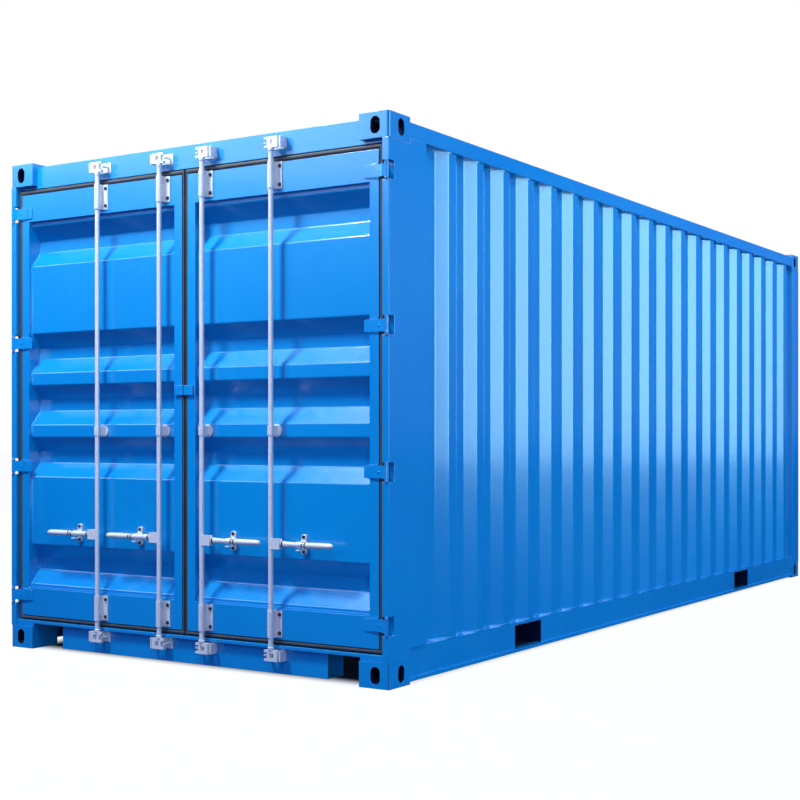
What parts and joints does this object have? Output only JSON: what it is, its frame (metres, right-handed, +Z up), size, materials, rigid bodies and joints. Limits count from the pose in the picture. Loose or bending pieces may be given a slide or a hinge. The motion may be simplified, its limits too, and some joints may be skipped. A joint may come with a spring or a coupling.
{
  "type": "twenty-foot shipping container",
  "caption": "Blue corrugated steel dry-cargo shipping container with hinged double end doors, vertical lock rods with lifting handles, corner castings and fork pockets.",
  "frame": {"origin": "on the ground plane under the bottom corner castings, midway between the sides and between the two ends of the castings", "axes": "+Z up; the doors are at the -Y end; +X is the right-hand side seen from the doors"},
  "size_m": [2.438, 6.088, 2.591],
  "materials": {
    "blue_paint": "semi-gloss container paint",
    "galvanised_steel": "bright zinc",
    "seal_rubber": "matte",
    "floor_plywood": "sealed plywood"
  },
  "bodies": {
    "container": {"corner_castings_bottom": "blue_paint", "corner_castings_top": "blue_paint", "door_header": "blue_paint", "door_sill": "blue_paint", "rear_bottom_rail": "blue_paint", "rear_top_rail": "blue_paint", "rear_wall": "blue_paint", "roof_panel": "blue_paint", "roof_end_plates": "blue_paint", "floor_boards": "floor_plywood", "cross_members": "blue_paint", "fork_pockets": "blue_paint", "cam_keepers": "galvanised_steel", "hinge_pins": "galvanised_steel", "door_post_right": "blue_paint", "rear_post_right": "blue_paint", "top_side_rail_right": "blue_paint", "bottom_side_rail_right": "blue_paint", "side_wall_right": "blue_paint", "door_post_left": "blue_paint", "rear_post_left": "blue_paint", "top_side_rail_left": "blue_paint", "bottom_side_rail_left": "blue_paint", "side_wall_left": "blue_paint"},
    "door_right": {"door_frame_right": "blue_paint", "door_panel_right": "blue_paint", "door_seal_right": "seal_rubber", "door_hinges_right": "blue_paint", "door_middle_lug_right": "blue_paint", "rod_bearings_right": "galvanised_steel", "handle_retainers_right": "galvanised_steel"},
    "lock_rod_inner_right": {"lock_rod_inner_right": "galvanised_steel"},
    "handle_inner_right": {"handle_inner_right": "galvanised_steel"},
    "lock_rod_outer_right": {"lock_rod_outer_right": "galvanised_steel"},
    "handle_outer_right": {"handle_outer_right": "galvanised_steel"},
    "door_left": {"door_frame_left": "blue_paint", "door_panel_left": "blue_paint", "door_seal_left": "seal_rubber", "door_hinges_left": "blue_paint", "door_middle_lug_left": "blue_paint", "rod_bearings_left": "galvanised_steel", "handle_retainers_left": "galvanised_steel"},
    "lock_rod_inner_left": {"lock_rod_inner_left": "galvanised_steel"},
    "handle_inner_left": {"handle_inner_left": "galvanised_steel"},
    "lock_rod_outer_left": {"lock_rod_outer_left": "galvanised_steel"},
    "handle_outer_left": {"handle_outer_left": "galvanised_steel"}
  },
  "joints": [
    {"name": "door_right_hinge", "type": "hinge", "parent": "container", "child": "door_right", "pos_m": [1.205, -3.027, 1.3], "axis": [0, 0, 1], "range_deg": [0, 255]},
    {"name": "door_left_hinge", "type": "hinge", "parent": "container", "child": "door_left", "pos_m": [-1.205, -3.027, 1.3], "axis": [0, 0, -1], "range_deg": [0, 255]},
    {"name": "lock_rod_inner_right_turn", "type": "hinge", "parent": "door_right", "child": "lock_rod_inner_right", "pos_m": [0.139, -3.043, 1.3], "axis": [0, 0, 1], "range_deg": [-105, 0]},
    {"name": "handle_inner_right_lift", "type": "hinge", "parent": "lock_rod_inner_right", "child": "handle_inner_right", "pos_m": [0.179, -3.043, 0.629], "axis": [0, 1, 0], "range_deg": [-30, 0]},
    {"name": "lock_rod_outer_right_turn", "type": "hinge", "parent": "door_right", "child": "lock_rod_outer_right", "pos_m": [0.564, -3.043, 1.3], "axis": [0, 0, 1], "range_deg": [-105, 0]},
    {"name": "handle_outer_right_lift", "type": "hinge", "parent": "lock_rod_outer_right", "child": "handle_outer_right", "pos_m": [0.604, -3.043, 0.629], "axis": [0, 1, 0], "range_deg": [-30, 0]},
    {"name": "lock_rod_inner_left_turn", "type": "hinge", "parent": "door_left", "child": "lock_rod_inner_left", "pos_m": [-0.139, -3.043, 1.3], "axis": [0, 0, -1], "range_deg": [-105, 0]},
    {"name": "handle_inner_left_lift", "type": "hinge", "parent": "lock_rod_inner_left", "child": "handle_inner_left", "pos_m": [-0.179, -3.043, 0.629], "axis": [0, -1, 0], "range_deg": [-30, 0]},
    {"name": "lock_rod_outer_left_turn", "type": "hinge", "parent": "door_left", "child": "lock_rod_outer_left", "pos_m": [-0.564, -3.043, 1.3], "axis": [0, 0, -1], "range_deg": [-105, 0]},
    {"name": "handle_outer_left_lift", "type": "hinge", "parent": "lock_rod_outer_left", "child": "handle_outer_left", "pos_m": [-0.604, -3.043, 0.629], "axis": [0, -1, 0], "range_deg": [-30, 0]}
  ]
}
